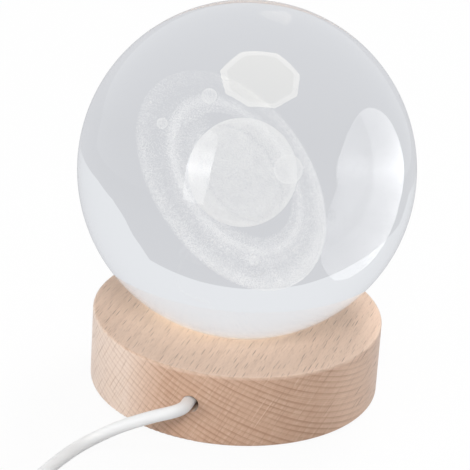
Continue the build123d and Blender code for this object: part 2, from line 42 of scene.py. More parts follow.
cameraSetup = {
    "place": (-0.14201, 0.496226, 0.273328),
    "right": (-0.950979, -0.303626, 0.058738),
    "up": (0.177128, -0.379069, 0.908258),
    "lens": 181.85,  # mm, as is the sensor
    "sensor": 36.0,
    "clip": (0.01, 50.0),
}


def makeCamera(setup):
    data = bpy.data.cameras.new("photoCamera")
    data.lens = setup["lens"]
    data.sensor_width = setup["sensor"]
    data.clip_start, data.clip_end = setup["clip"]
    camera = bpy.data.objects.new("photoCamera", data)
    bpy.context.scene.collection.objects.link(camera)
    right, up = Vector(setup["right"]), Vector(setup["up"])
    turn = Matrix((right, up, right.cross(up))).transposed().to_4x4()
    camera.matrix_world = Matrix.Translation(setup["place"]) @ turn
    bpy.context.scene.camera = camera


makeCamera(cameraSetup)
print("camera placed")


# Helpers for node trees
def addNode(nodes, kind, values=None, **settings):
    node = nodes.new(kind)
    for name, value in settings.items():
        setattr(node, name, value)
    for name, value in (values or {}).items():
        node.inputs[name].default_value = value
    return node


def newMaterial(name, values):
    material = bpy.data.materials.new(name)
    material.use_nodes = True
    nodes, links = material.node_tree.nodes, material.node_tree.links
    shader = nodes["Principled BSDF"]
    for socket, value in values.items():
        shader.inputs[socket].default_value = value
    return material, nodes, links, shader


def newShaderGroup(name, sockets):
    group = bpy.data.node_groups.new(name, "ShaderNodeTree")
    for label, inOut, kind, value in sockets:
        socket = group.interface.new_socket(name=label, in_out=inOut, socket_type=kind)
        if value is not None:
            socket.default_value = value
    return group, group.nodes, group.links


def wear(node, material):
    # one material on a node or a piece
    node.data.materials.clear()
    node.data.materials.append(material)


def mathNode(tree, operation, *values):
    node = addNode(tree.nodes, "ShaderNodeMath", operation=operation)
    for socket, value in zip(node.inputs, values):
        if isinstance(value, (int, float)):
            socket.default_value = value
        else:
            tree.links.new(value, socket)
    return node.outputs[0]


def vectorNode(tree, operation, *values):
    node = addNode(tree.nodes, "ShaderNodeVectorMath", operation=operation)
    for socket, value in zip(node.inputs, values):
        if isinstance(value, tuple):
            socket.default_value = value
        else:
            tree.links.new(value, socket)
    return node.outputs["Value" if operation in ("LENGTH", "DOT_PRODUCT") else "Vector"]


def rangeNode(tree, value, low, high, least=0.0, most=1.0):
    node = addNode(tree.nodes, "ShaderNodeMapRange",
                   {"From Min": low, "From Max": high, "To Min": least, "To Max": most})
    tree.links.new(value, node.inputs["Value"])
    return node.outputs["Result"]


def mixNode(tree, share, first, second):
    node = addNode(tree.nodes, "ShaderNodeMix", data_type="RGBA")
    for socket, value in (("Factor", share), ("A", first), ("B", second)):
        if isinstance(value, tuple):
            node.inputs[socket].default_value = (*value, 1)
        elif isinstance(value, (int, float)):
            node.inputs[socket].default_value = value
        else:
            tree.links.new(value, node.inputs[socket])
    return node.outputs["Result"]


def noiseNode(tree, place, scale=1.0, detail=2.0):
    node = addNode(tree.nodes, "ShaderNodeTexNoise", {"Scale": scale, "Detail": detail})
    tree.links.new(place, node.inputs["Vector"])
    return node.outputs["Fac"]


def stretchNode(tree, place, *sizes):
    # a pattern as long along each axis as its size, in metres
    return vectorNode(tree, "MULTIPLY", place, tuple(1 / size for size in sizes))


# fine skin of moulded and coated surfaces: slow tint, roughness and a fine height
skinSetup = {
    "tintScale": 90.0,
    "tintDetail": 3.0,
    "fineDetail": 2.0,
    "roughSwing": 0.16,
    "depth": 0.0002,
}


def makeSkinGroup(setup):
    group, nodes, links = newShaderGroup("fineSkin", [
        ("Light", "INPUT", "NodeSocketColor", (0.9, 0.9, 0.9, 1)),
        ("Dark", "INPUT", "NodeSocketColor", (0.8, 0.8, 0.8, 1)),
        ("Grain", "INPUT", "NodeSocketFloat", 2500.0),
        ("Roughness", "INPUT", "NodeSocketFloat", 0.4),
        ("Color", "OUTPUT", "NodeSocketColor", None),
        ("Rough", "OUTPUT", "NodeSocketFloat", None),
        ("Height", "OUTPUT", "NodeSocketFloat", None),
    ])
    given = nodes.new("NodeGroupInput")
    result = nodes.new("NodeGroupOutput")
    place = nodes.new("ShaderNodeTexCoord")
    slow = addNode(nodes, "ShaderNodeTexNoise",
                   {"Scale": setup["tintScale"], "Detail": setup["tintDetail"]})
    fine = addNode(nodes, "ShaderNodeTexNoise", {"Detail": setup["fineDetail"]})
    links.new(place.outputs["Object"], slow.inputs["Vector"])
    links.new(place.outputs["Object"], fine.inputs["Vector"])
    links.new(given.outputs["Grain"], fine.inputs["Scale"])
    tint = addNode(nodes, "ShaderNodeMix", data_type="RGBA")
    links.new(slow.outputs["Fac"], tint.inputs["Factor"])
    links.new(given.outputs["Dark"], tint.inputs["A"])
    links.new(given.outputs["Light"], tint.inputs["B"])
    spread = addNode(nodes, "ShaderNodeMath", operation="MULTIPLY_ADD")
    links.new(fine.outputs["Fac"], spread.inputs[0])
    spread.inputs[1].default_value = setup["roughSwing"]
    links.new(given.outputs["Roughness"], spread.inputs[2])
    links.new(tint.outputs["Result"], result.inputs["Color"])
    links.new(spread.outputs[0], result.inputs["Rough"])
    links.new(fine.outputs["Fac"], result.inputs["Height"])
    return group


skinGroup = makeSkinGroup(skinSetup)


def skinMaterial(name, light, dark, roughness, grain=2500.0, bump=0.02, **shaderValues):
    values = {"Specular IOR Level": 0.5}
    values.update({key.replace("_", " "): value for key, value in shaderValues.items()})
    material, nodes, links, shader = newMaterial(name, values)
    skin = addNode(nodes, "ShaderNodeGroup", node_tree=skinGroup)
    skin.inputs["Light"].default_value = (*light, 1)
    skin.inputs["Dark"].default_value = (*dark, 1)
    skin.inputs["Roughness"].default_value = roughness
    skin.inputs["Grain"].default_value = grain
    links.new(skin.outputs["Color"], shader.inputs["Base Color"])
    links.new(skin.outputs["Rough"], shader.inputs["Roughness"])
    relief = addNode(nodes, "ShaderNodeBump", {"Strength": bump, "Distance": skinSetup["depth"]})
    links.new(skin.outputs["Height"], relief.inputs["Height"])
    links.new(relief.outputs["Normal"], shader.inputs["Normal"])
    return material


jacketLook = {
    "light": (0.87, 0.87, 0.87),
    "dark": (0.82, 0.825, 0.83),
    "roughness": 0.36,
    "grain": 1400.0,
    "bump": 0.03,
}
jacketVinyl = skinMaterial("jacketVinyl", **jacketLook)

cordSetup = {
    "radius": 1.5 * mm,
    "exit": (0.4548, 35.0, 10.452),  # mm, as are the routes
    "length": 0.996,
    "shortLength": 0.0384,
    "coilMiddle": (0.2, 101.5),
    "coilOuterRadius": 24.8,
    "coilStep": 1.8,  # nearer the middle each half turn
    "climbStep": 1.3,
    "lowHeight": 2.1,
    "highHeight": 5.7,
    "inwardHalfTurns": 8,
    "outwardHalfTurns": 8,
    "halfTurns": 15.5,  # in all, with the one that climbs
    "pointsPerHalfTurn": 8,
    "roundness": 0.981,  # the smooth line runs this far inside its points
    "order": 3,  # of the spline
    "lengthSteps": 6,  # between two points
    "bevelSteps": 6,  # Blender's bevel resolution, round the cord
}
leadRoute = [
    (0.4548, 20.0, 10.452), (0.4548, 35.0, 10.452), (0.4548, 37.9, 10.452), (2.2, 40.2, 10.15),
    (6.7, 41.3, 8.6), (13.8, 42.6, 5.2), (18.3, 45.0, 2.8), (21.6, 49.2, 1.5), (23.4, 56.4, 1.5),
    (24.7, 64.5, 1.5), (25.7, 74.5, 1.5), (25.7, 85.0, 1.5), (25.0, 93.2, 2.1), (25.0, 98.5, 2.1),
]
tailRoute = [
    (3.2, 79.4, 5.7), (12.0, 79.4, 5.7), (18.6, 79.3, 6.0), (25.0, 80.7, 6.0), (29.8, 85.4, 5.0),
    (32.0, 92.2, 2.7), (31.3, 101.2, 1.5), (31.6, 111.5, 1.5), (30.2, 121.3, 1.5), (26.2, 129.0, 1.6),
    (20.0, 133.9, 2.6), (15.4, 135.5, 4.0), (9.6, 135.5, 4.0),
]
endRoute = [
    (-15.6, 135.5, 4.0), (-21.4, 135.5, 4.0), (-27.0, 133.9, 3.1), (-31.2, 129.9, 2.0),
    (-33.4, 124.4, 1.7), (-33.9, 118.9, 2.5), (-33.5, 113.5, 4.0), (-33.5, 109.5, 4.0),
]


def coilRadius(setup, halfTurns):
    # inwards, one step further in while it climbs, then outwards
    inward = setup["inwardHalfTurns"]
    outer, step = setup["coilOuterRadius"], setup["coilStep"]
    low = outer - inward * step
    stations = [outer - number * step for number in range(inward + 1)]
    stations.append(low - setup["climbStep"])
    stations += [low + (number + 1) * step for number in range(setup["outwardHalfTurns"])]
    whole = int(halfTurns)
    share = halfTurns - whole
    return stations[whole] * (1 - share) + stations[whole + 1] * share


def coilPoints(setup):
    points = []
    perHalf = setup["pointsPerHalfTurn"]
    for step in range(int(setup["halfTurns"] * perHalf) + 1):
        halfTurns = step / perHalf
        angle = pi * halfTurns
        radius = coilRadius(setup, halfTurns) / setup["roundness"]
        climb = min(1, max(0, halfTurns - setup["inwardHalfTurns"]))
        rise = climb * climb * (3 - 2 * climb) * (setup["highHeight"] - setup["lowHeight"])
        points.append((setup["coilMiddle"][0] + radius * cos(angle),
                       setup["coilMiddle"][1] + radius * sin(angle), setup["lowHeight"] + rise))
    return points


def makeCord(name, points, radius, material):
    curve = bpy.data.curves.new(name, "CURVE")
    curve.dimensions = "3D"
    curve.resolution_u = cordSetup["lengthSteps"]
    curve.bevel_depth = radius
    curve.bevel_resolution = cordSetup["bevelSteps"]
    curve.use_fill_caps = True
    spline = curve.splines.new("NURBS")
    spline.points.add(len(points) - 1)
    for point, place in zip(spline.points, points):
        point.co = (*[value * mm for value in place], 1)
    spline.order_u = cordSetup["order"]
    spline.use_endpoint_u = True
    cord = bpy.data.objects.new(name, curve)
    bpy.context.scene.collection.objects.link(cord)
    wear(cord, material)
    return cord


longRoute = leadRoute + coilPoints(cordSetup) + tailRoute
longCord = makeCord("longCord", longRoute, cordSetup["radius"], jacketVinyl)
shortCord = makeCord("shortCord", endRoute, cordSetup["radius"], jacketVinyl)
print("cords laid")


def newGeometryTree(name, sockets):
    tree = bpy.data.node_groups.new(name, "GeometryNodeTree")
    tree.interface.new_socket(name="Geometry", in_out="INPUT", socket_type="NodeSocketGeometry")
    for label, kind in sockets:
        tree.interface.new_socket(name=label, in_out="INPUT", socket_type=kind)
    tree.interface.new_socket(name="Geometry", in_out="OUTPUT", socket_type="NodeSocketGeometry")
    return tree, tree.nodes, tree.links


def finishTree(tree, geometry, given):
    nodes, links = tree.nodes, tree.links
    realize = nodes.new("GeometryNodeRealizeInstances")
    dress = nodes.new("GeometryNodeSetMaterial")
    result = nodes.new("NodeGroupOutput")
    links.new(geometry, realize.inputs["Geometry"])
    links.new(realize.outputs["Geometry"], dress.inputs["Geometry"])
    links.new(given.outputs["Material"], dress.inputs["Material"])
    links.new(dress.outputs["Geometry"], result.inputs["Geometry"])


def growMesh(name, baseMesh, tree, values):
    # the tree's result as a plain mesh
    source = bpy.data.objects.new(name + "Source", baseMesh)
    bpy.context.scene.collection.objects.link(source)
    modifier = source.modifiers.new("grow", "NODES")
    modifier.node_group = tree
    for item in tree.interface.items_tree:
        if item.in_out == "INPUT" and item.name in values:
            modifier[item.identifier] = values[item.name]
    bpy.context.view_layer.update()
    evaluated = source.evaluated_get(bpy.context.evaluated_depsgraph_get())
    mesh = bpy.data.meshes.new_from_object(evaluated)
    mesh.name = name
    bpy.data.objects.remove(source)
    piece = bpy.data.objects.new(name, mesh)
    bpy.context.scene.collection.objects.link(piece)
    return piece


def meshFromBmesh(name, shape):
    mesh = bpy.data.meshes.new(name)
    shape.to_mesh(mesh)
    shape.free()
    return mesh


ballSetup = {
    "radius": 0.040,
    "centre": (0.0, 0.0, 0.0555),
    "segments": 320,
    "rings": 160,
    "ior": 1.517,
    "tint": (0.985, 0.99, 0.995),
    # faint wiping marks on the polish: how fine, where they show and how rough
    "wipeScale": 60.0,
    "wipeDetail": 4.0,
    "wipeTwist": 1.2,
    "wipeRange": (0.55, 0.8),
    "wipeRoughness": 0.012,
}


def makeGlass(setup):
    material, nodes, links, shader = newMaterial("clearCrystal", {
        "Base Color": (*setup["tint"], 1), "Transmission Weight": 1.0, "IOR": setup["ior"],
    })
    place = nodes.new("ShaderNodeTexCoord")
    wipe = addNode(nodes, "ShaderNodeTexNoise", {
        "Scale": setup["wipeScale"], "Detail": setup["wipeDetail"], "Distortion": setup["wipeTwist"],
    })
    links.new(place.outputs["Object"], wipe.inputs["Vector"])
    faint = rangeNode(material.node_tree, wipe.outputs["Fac"], *setup["wipeRange"],
                      0.0, setup["wipeRoughness"])
    links.new(faint, shader.inputs["Roughness"])
    return material


def makeBallTree():
    tree, nodes, links = newGeometryTree("polishedBall", [
        ("Radius", "NodeSocketFloat"), ("Segments", "NodeSocketInt"), ("Rings", "NodeSocketInt"),
        ("Centre", "NodeSocketVector"), ("Material", "NodeSocketMaterial"),
    ])
    given = nodes.new("NodeGroupInput")
    ball = nodes.new("GeometryNodeMeshUVSphere")
    for name in ("Radius", "Segments", "Rings"):
        links.new(given.outputs[name], ball.inputs[name])
    lift = nodes.new("GeometryNodeTransform")
    links.new(ball.outputs["Mesh"], lift.inputs["Geometry"])
    links.new(given.outputs["Centre"], lift.inputs["Translation"])
    smooth = addNode(nodes, "GeometryNodeSetShadeSmooth", {"Shade Smooth": True})
    links.new(lift.outputs["Geometry"], smooth.inputs["Geometry"])
    finishTree(tree, smooth.outputs["Geometry"], given)
    return tree


clearCrystal = makeGlass(ballSetup)
glassBall = growMesh("glassBall", bpy.data.meshes.new("ballSeed"), makeBallTree(), {
    "Radius": ballSetup["radius"], "Segments": ballSetup["segments"], "Rings": ballSetup["rings"],
    "Centre": ballSetup["centre"], "Material": clearCrystal,
})
print("glass ball turned")


marksSetup = {
    "shift": (0.6, 0.2, -0.5),  # mm, of the planet's centre from the ball's
    "turn": 24.0,
    "tilt": 12.9,
    "planetRadius": 8.42,
    # tried on a square millimetre above and below the rings; those closer than the spacing are left out
    "planetDots": (125.0, 225.0),
    "planetSpacing": 0.066,
    "planetDotRadius": 0.078,
    "seam": 0.24,  # half width of the bare line round the planet, in the plane of the rings
    "ringDots": 230.0,  # on each face of the rings where their share is 1
    "shareLimit": 1.5,
    "ringDotRadius": 0.045,
    "ringHalfThickness": 0.15,
    "ringShift": (0.36, -0.24),  # of the bands' middle, across and up
    # each band: radius and share of dots there, then the level and swing of that share round the
    # ring and the direction, in degrees, where the swing is greatest
    "haze": (((8.7, 0.42), (10.2, 0.36), (11.1, 0.2)), -2.0, 3.0, 10.0),
    "innerRing": (((10.8, 0.1), (11.1, 0.3), (12.2, 0.34), (12.55, 0.7), (13.3, 0.8), (13.7, 0.5),
                   (14.4, 0.3)), 0.95, 0.35, 310.0),
    "outerRing": (((14.4, 0.28), (15.2, 0.17), (15.9, 0.16), (16.4, 0.25), (17.3, 0.36), (17.9, 0.52),
                   (18.5, 0.52), (18.9, 0.34), (18.95, 0.75), (19.17, 0.75)), 1.1, 0.85, 245.0),
    "moonDots": 125.0,
    # across, up and radius
    "moons": ((4.3, 14.75, 1.3), (14.2, 4.3, 0.8), (-14.4, 7.4, 2.6), (-1.65, -14.1, 0.7)),
    "star": (17.1, 6.1, 0.16),
    "glow": {"planet": 0.82, "ring": 0.93, "moon": 0.86},  # painted glow: emission that stands in for the lamp light the marks scatter
    "moonGap": 0.5,  # between the plane of the rings and each moon
    "skinSubdivisions": 5,  # of the spheres that carry the dots of the planet and moons
    "bandTurns": 120,  # steps round a ring, whose share of dots is set at each
    "bandStep": 0.18,  # and the width of a step across it
    "dotSeeds": {"turn": 5, "size": 9},
    "spacing": 0.03,  # of the dots of rings and moons
    "seeds": {"planetUpperDots": 3, "planetLowerDots": 7, "innerRing": (4, 24), "outerRing": (5, 25),
              "hazeDots": 8, "moonDots": 6},
    "roughness": 0.7,
    "specular": 0.1,
    "cloudScale": 380.0,
    "cloudDetail": 3.0,
    "cloudRange": (0.3, 0.7),
    # the thinner and the denser tone of the marks, and the colour of their painted glow
    "tones": {"Base Color": ((0.20, 0.20, 0.205), (0.22, 0.22, 0.22)),
              "Emission Color": ((0.72, 0.725, 0.735), (0.78, 0.785, 0.79))},
    "dotSizes": (0.7, 1.2),  # the smallest and the largest, as shares of the radius above
    "dotTurn": 3.0,
}


def marksPlane(setup):
    turn, tilt = radians(setup["turn"]), radians(setup["tilt"])
    out = Vector((-sin(turn) * cos(tilt), -cos(turn) * cos(tilt), sin(tilt)))
    across = Vector((cos(turn), -sin(turn), 0))
    up = out.cross(across)
    place = Vector(ballSetup["centre"]) + Vector(setup["shift"]) * mm
    return Matrix.Translation(place) @ Matrix((across, up, out)).transposed().to_4x4()


def makeDotTree():
    tree, nodes, links = newGeometryTree("laserDots", [
        ("Spacing", "NodeSocketFloat"), ("Density", "NodeSocketFloat"), ("Dot Radius", "NodeSocketFloat"),
        ("Seed", "NodeSocketInt"), ("Material", "NodeSocketMaterial"),
    ])
    given = nodes.new("NodeGroupInput")
    weight = addNode(nodes, "GeometryNodeInputNamedAttribute", {"Name": "dotWeight"}, data_type="FLOAT")
    scatter = addNode(nodes, "GeometryNodeDistributePointsOnFaces", distribute_method="POISSON")
    links.new(given.outputs["Geometry"], scatter.inputs["Mesh"])
    links.new(given.outputs["Spacing"], scatter.inputs["Distance Min"])
    links.new(given.outputs["Density"], scatter.inputs["Density Max"])
    links.new(weight.outputs["Attribute"], scatter.inputs["Density Factor"])
    links.new(given.outputs["Seed"], scatter.inputs["Seed"])
    dot = addNode(nodes, "GeometryNodeMeshCone", {"Vertices": 3, "Radius Top": 0.0}, fill_type="NGON")
    links.new(given.outputs["Dot Radius"], dot.inputs["Radius Bottom"])
    links.new(given.outputs["Dot Radius"], dot.inputs["Depth"])
    turn = addNode(nodes, "FunctionNodeRandomValue", data_type="FLOAT_VECTOR")
    turn.inputs[0].default_value = (-marksSetup["dotTurn"],) * 3
    turn.inputs[1].default_value = (marksSetup["dotTurn"],) * 3
    turn.inputs["Seed"].default_value = marksSetup["dotSeeds"]["turn"]
    size = addNode(nodes, "FunctionNodeRandomValue", data_type="FLOAT")
    size.inputs[2].default_value, size.inputs[3].default_value = marksSetup["dotSizes"]
    size.inputs["Seed"].default_value = marksSetup["dotSeeds"]["size"]
    spread = nodes.new("GeometryNodeInstanceOnPoints")
    links.new(scatter.outputs["Points"], spread.inputs["Points"])
    links.new(dot.outputs["Mesh"], spread.inputs["Instance"])
    links.new(turn.outputs[0], spread.inputs["Rotation"])
    links.new(size.outputs[1], spread.inputs["Scale"])
    finishTree(tree, spread.outputs["Instances"], given)
    return tree


def weighMesh(mesh, shares):
    # the share of dots at each point
    mesh.attributes.new("dotWeight", "FLOAT", "POINT").data.foreach_set("value", shares)


def bandShare(band, place):
    # the share of dots at a place in the plane of the rings
    profile, level, swing, toward = band
    across, up = (value - shift for value, shift in zip(place, marksSetup["ringShift"]))
    radius, turn = (across * across + up * up) ** 0.5, atan2(up, across)
    share = profile[-1][1] if radius > profile[0][0] else profile[0][1]
    for (inner, innerShare), (outer, outerShare) in zip(profile, profile[1:]):
        if inner <= radius <= outer:
            share = innerShare + (outerShare - innerShare) * (radius - inner) / (outer - inner)
    share *= max(0.0, level + swing * cos(turn - radians(toward)))
    return min(1.0, share / marksSetup["shareLimit"])


def bandMesh(name, band, height, plane):
    # a flat band whose share of dots changes along the radius and round the ring
    shape = bmesh.new()
    shares = []
    count = marksSetup["bandTurns"]
    turns = [2 * pi * index / count for index in range(count)]
    inner, outer = band[0][0][0], band[0][-1][0]
    steps = round((outer - inner) / marksSetup["bandStep"])
    rows = []
    for index in range(steps + 1):
        radius = inner + (outer - inner) * index / steps
        places = [(radius * cos(turn), radius * sin(turn)) for turn in turns]
        rows.append([shape.verts.new(Vector((*place, height)) * mm) for place in places])
        shares += [bandShare(band, place) for place in places]
    for low, high in zip(rows, rows[1:]):
        for index in range(count):
            after = (index + 1) % count
            shape.faces.new((low[index], high[index], high[after], low[after]))
    shape.transform(plane)
    mesh = meshFromBmesh(name, shape)
    weighMesh(mesh, shares)
    return mesh


def ballMesh(name, balls, plane, weigh):
    shape = bmesh.new()
    for place, radius in balls:
        bmesh.ops.create_icosphere(shape, subdivisions=marksSetup["skinSubdivisions"],
                                   radius=radius * mm, matrix=Matrix.Translation(Vector(place) * mm))
    mesh = meshFromBmesh(name, shape)
    weighMesh(mesh, [weigh(vertex.co) for vertex in mesh.vertices])
    mesh.transform(plane)
    return mesh


def makeDotMaterial(name, glow, setup):
    # painted glow: the marks emit light that stands in for the lamp light they scatter
    material, nodes, links, shader = newMaterial(name, {
        "Roughness": setup["roughness"], "Emission Strength": glow,
        "Specular IOR Level": setup["specular"],
    })
    tree = material.node_tree
    place = nodes.new("ShaderNodeTexCoord").outputs["Object"]
    cloud = rangeNode(tree, noiseNode(tree, place, setup["cloudScale"], setup["cloudDetail"]),
                      *setup["cloudRange"])
    for socket, tones in setup["tones"].items():
        links.new(mixNode(tree, cloud, *tones), shader.inputs[socket])
    return material


dotPlane = marksPlane(marksSetup)
dotTree = makeDotTree()
dotMaterials = {name: makeDotMaterial(name + "Marks", glow, marksSetup)
                for name, glow in marksSetup["glow"].items()}


def makeDots(name, kind, mesh, density, radius, seed, spacing=marksSetup["spacing"]):
    return growMesh(name, mesh, dotTree, {
        "Spacing": spacing * mm, "Density": density / mm**2, "Dot Radius": radius * mm, "Seed": seed,
        "Material": dotMaterials[kind],
    })


def planetHalf(name, side):
    # the dots above or below the planet's bare seam
    skin = ballMesh("planetSkin", [((0, 0, 0), marksSetup["planetRadius"])], dotPlane,
                    lambda place: 1.0 if side * place.z > marksSetup["seam"] * mm else 0.0)
    density = marksSetup["planetDots"][0 if side > 0 else 1]
    return makeDots(name, "planet", skin, density, marksSetup["planetDotRadius"],
                    marksSetup["seeds"][name], marksSetup["planetSpacing"])


planetDots = [planetHalf("planetUpperDots", 1), planetHalf("planetLowerDots", -1)]
fullShare = marksSetup["ringDots"] * marksSetup["shareLimit"]


def ringLayers(name):
    # the two thin layers of dots that make up a ring
    layers = []
    for layer, side, seed in zip(("Upper", "Lower"), (1, -1), marksSetup["seeds"][name]):
        band = bandMesh(name, marksSetup[name], side * marksSetup["ringHalfThickness"], dotPlane)
        layers.append(makeDots(name + layer + "Dots", "ring", band, fullShare,
                               marksSetup["ringDotRadius"], seed))
    return layers


ringDots = {name: ringLayers(name) for name in ("innerRing", "outerRing")}
hazeDots = makeDots("hazeDots", "ring", bandMesh("haze", marksSetup["haze"], 0.0, dotPlane),
                    fullShare * 2, marksSetup["ringDotRadius"], marksSetup["seeds"]["hazeDots"])
moonBalls = [((across, up, -(marksSetup["moonGap"] + radius)), radius)
             for across, up, radius in marksSetup["moons"]]
across, up, radius = marksSetup["star"]
moonBalls.append(((across, up, 0), radius))
moonDots = makeDots("moonDots", "moon", ballMesh("moonSkin", moonBalls, dotPlane, lambda place: 1.0),
                    marksSetup["moonDots"], marksSetup["ringDotRadius"], marksSetup["seeds"]["moonDots"])
allDots = [*planetDots, *ringDots["innerRing"], *ringDots["outerRing"], hazeDots, moonDots]
print("laser dots marked", [len(piece.data.polygons) for piece in allDots])


beechSetup = {
    "ringLean": -0.45,  # of the growth rings' normal, along X
    "ringSpacing": 0.00135,
    "ringLine": (0.45, 0.88, 0.93),  # where a line starts, is full and ends, as shares of its spacing
    "finePerRing": 3.3,  # fainter lines in each growth ring
    "fineLine": (0.5, 0.9, 0.9),
    "fineShare": 0.25,
    "raySpacing": 0.0014,  # of the long thin rays that cross the end grain
    "rayLine": (0.84, 0.9, 0.95),
    # how far the growth rings and the long rays wander
    "ringSway": 0.0016,
    "raySway": 0.0022,
    # how far a surface has turned toward the end, toward the side with the painted sheen (X) or the side with
    # the painted shade (-X), where its look starts and is full
    "endTurn": (0.15, 0.65),
    "litSideTurn": (0.16, 0.5),
    "shadedSideTurn": (-0.4, -0.9),
    # colours
    "light": (0.90, 0.67, 0.525),
    "middle": (0.82, 0.59, 0.45),
    "side": (0.86, 0.72, 0.62),  # painted sheen: the paler tone of the side toward X, where the window light falls
    "endGrain": (0.585, 0.37, 0.255),
    "late": (0.40, 0.22, 0.135),
    "fleck": (0.36, 0.21, 0.14),
    "paleRay": (0.84, 0.64, 0.50),
    "edge": (0.90, 0.72, 0.60),  # painted highlight along the top edge
    # sizes of the patterns: across the rays, along the grain, across the rings
    "fleckCell": (0.0009, 0.0046, 0.012),
    "smallCell": (0.0005, 0.0019, 0.006),
    "fleckShape": (0.13, 0.46, 0.62),  # half sizes of a fleck, as shares of its cell
    "fleckEdge": (1.0, 0.55),  # where it starts and is full, as shares of those
    "fleckLevels": (0.9, 0.15, 1.0),  # the random value of the fullest, then the least and the most
    "fleckStart": 0.1,  # the random value of the faintest
    "smallFleckStart": 0.45,
    "swaySize": (0.03, 0.2, 0.009),
    "patchSize": (0.010, 0.05, 0.0016),
    "driftSize": (0.02, 0.09, 0.012),
    "weaveSize": (0.0007, 0.03, 0.0035),
    "raySwaySize": (0.004, 0.05, 0.03),
    "rayBreakSize": (0.0012, 0.02, 0.0035),
    "poreSize": (0.00016, 0.0016, 0.00018),
    "slowDetail": 3.0,
    "weaveDetail": 1.0,
    # the part of a pattern's values, or of a turn toward the end, that counts; then what it gives
    "patchRange": (0.35, 0.6, 0.35, 1.0),
    "ringTurn": (0.0, 0.8, 0.14, 0.8),
    "ringSide": (1.0, 0.4),
    "driftRange": (0.3, 0.7, 0.0, 0.6),
    "weaveRange": (0.45, 0.75),
    "paleRange": (0.5, 0.55),
    "paleTurn": (0.3, 0.6),
    "fleckTurn": (0.2, 0.9, 0.78, 0.42),
    "rayTurn": (0.25, 0.6),
    "rayBreak": (0.4, 0.55),
    "poreRange": (0.5, 0.75),
    "roughRange": (0.3, 0.7),
    # how far each mark replaces the tone under it
    # the painted sheen on the side toward X, and the painted shade in end grain colour on the side toward -X
    "litSideShare": 0.9,
    "shadedSideShare": 0.5,
    "endShare": 0.92,
    "endLoss": -0.82,  # of that share, on the side with the painted sheen
    "weaveShare": 0.3,
    "smallFleckShare": 0.32,
    "rayShare": 0.4,
    "poreShare": 0.22,
    "edgeHighlightShare": 0.22,
    "edgeRadius": 0.0347,
    "edgeHeight": 0.0182,
    "edgeHighlightFade": (0.0006, 0.0003),  # from the edge, where the painted highlight starts and is full
    "roughness": (0.42, 0.55),
    "sheen": (0.12, 0.4),  # weight and roughness
    "relief": (0.2, 0.0001),  # strength and depth
    "fleckHeight": -0.6,  # beside a pore's 1
}


def grainNoise(tree, place, size, detail=2.0):
    return noiseNode(tree, stretchNode(tree, place, *size), 1.0, detail)


def product(tree, first, second):
    return mathNode(tree, "MULTIPLY", first, second)


def repeatedLine(tree, value, spacing, start, full, end):
    # a line once in each spacing
    wave = mathNode(tree, "FRACT", mathNode(tree, "DIVIDE", value, spacing))
    return product(tree, rangeNode(tree, wave, start, full), rangeNode(tree, wave, 1.0, end))


def fleckMask(tree, setup, place, cell, start):
    # thin upright sheets of ray tissue, one in each cell, some faint; and a random value for each
    spread = stretchNode(tree, place, *cell)
    cells = addNode(tree.nodes, "ShaderNodeTexVoronoi", {"Scale": 1.0, "Randomness": 1.0}, feature="F1")
    tree.links.new(spread, cells.inputs["Vector"])
    away = vectorNode(tree, "SUBTRACT", spread, cells.outputs["Position"])
    reach = vectorNode(tree, "LENGTH", stretchNode(tree, away, *setup["fleckShape"]))
    apart = tree.nodes.new("ShaderNodeSeparateColor")
    tree.links.new(cells.outputs["Color"], apart.inputs["Color"])
    mask = product(tree, rangeNode(tree, reach, *setup["fleckEdge"]),
                   rangeNode(tree, apart.outputs["Red"], start, *setup["fleckLevels"]))
    return mask, apart.outputs["Green"]


def beechRings(tree, setup, place, depth, facing, sideFacing):
    # growth rings: a thin dark line, and fainter ones between; strongest on the end grain
    sway = grainNoise(tree, place, setup["swaySize"], setup["slowDetail"])
    depth = mathNode(tree, "MULTIPLY_ADD", sway, setup["ringSway"], depth)
    line = repeatedLine(tree, depth, setup["ringSpacing"], *setup["ringLine"])
    patch = grainNoise(tree, place, setup["patchSize"], setup["slowDetail"])
    line = product(tree, line, rangeNode(tree, patch, *setup["patchRange"]))
    fineLine = repeatedLine(tree, depth, setup["ringSpacing"] / setup["finePerRing"], *setup["fineLine"])
    rings = mathNode(tree, "MULTIPLY_ADD", fineLine, setup["fineShare"], line)
    rings = product(tree, rings, rangeNode(tree, facing, *setup["ringTurn"]))
    # the rings are fainter under the painted sheen of the side toward X
    return product(tree, rings, rangeNode(tree, sideFacing, *setup["litSideTurn"], *setup["ringSide"]))


def beechTone(tree, setup, place, facing, sideFacing):
    # paler on the face, redder and darker at the end of the grain, with slow drifts; painted sheen makes the
    # side toward X paler and painted shade makes the side toward -X darker
    drift = grainNoise(tree, place, setup["driftSize"], setup["slowDetail"])
    colour = mixNode(tree, rangeNode(tree, drift, *setup["driftRange"]), setup["light"], setup["middle"])
    # painted sheen: the side toward X is paler, where the window light falls
    toLitSide = rangeNode(tree, sideFacing, *setup["litSideTurn"])
    colour = mixNode(tree, product(tree, toLitSide, setup["litSideShare"]), colour, setup["side"])
    # painted shade: the side toward -X takes part of the end grain's darker colour
    toEnd = mathNode(tree, "MAXIMUM", rangeNode(tree, facing, *setup["endTurn"]),
                     rangeNode(tree, sideFacing, *setup["shadedSideTurn"], 0.0, setup["shadedSideShare"]))
    share = mathNode(tree, "MULTIPLY_ADD", toLitSide, setup["endLoss"], setup["endShare"])
    colour = mixNode(tree, product(tree, toEnd, share), colour, setup["endGrain"])
    # blocks of slightly different tone between the rays, as on sawn end grain
    weave = grainNoise(tree, place, setup["weaveSize"], setup["weaveDetail"])
    share = rangeNode(tree, weave, *setup["weaveRange"], 0.0, setup["weaveShare"])
    return mixNode(tree, share, colour, setup["paleRay"])


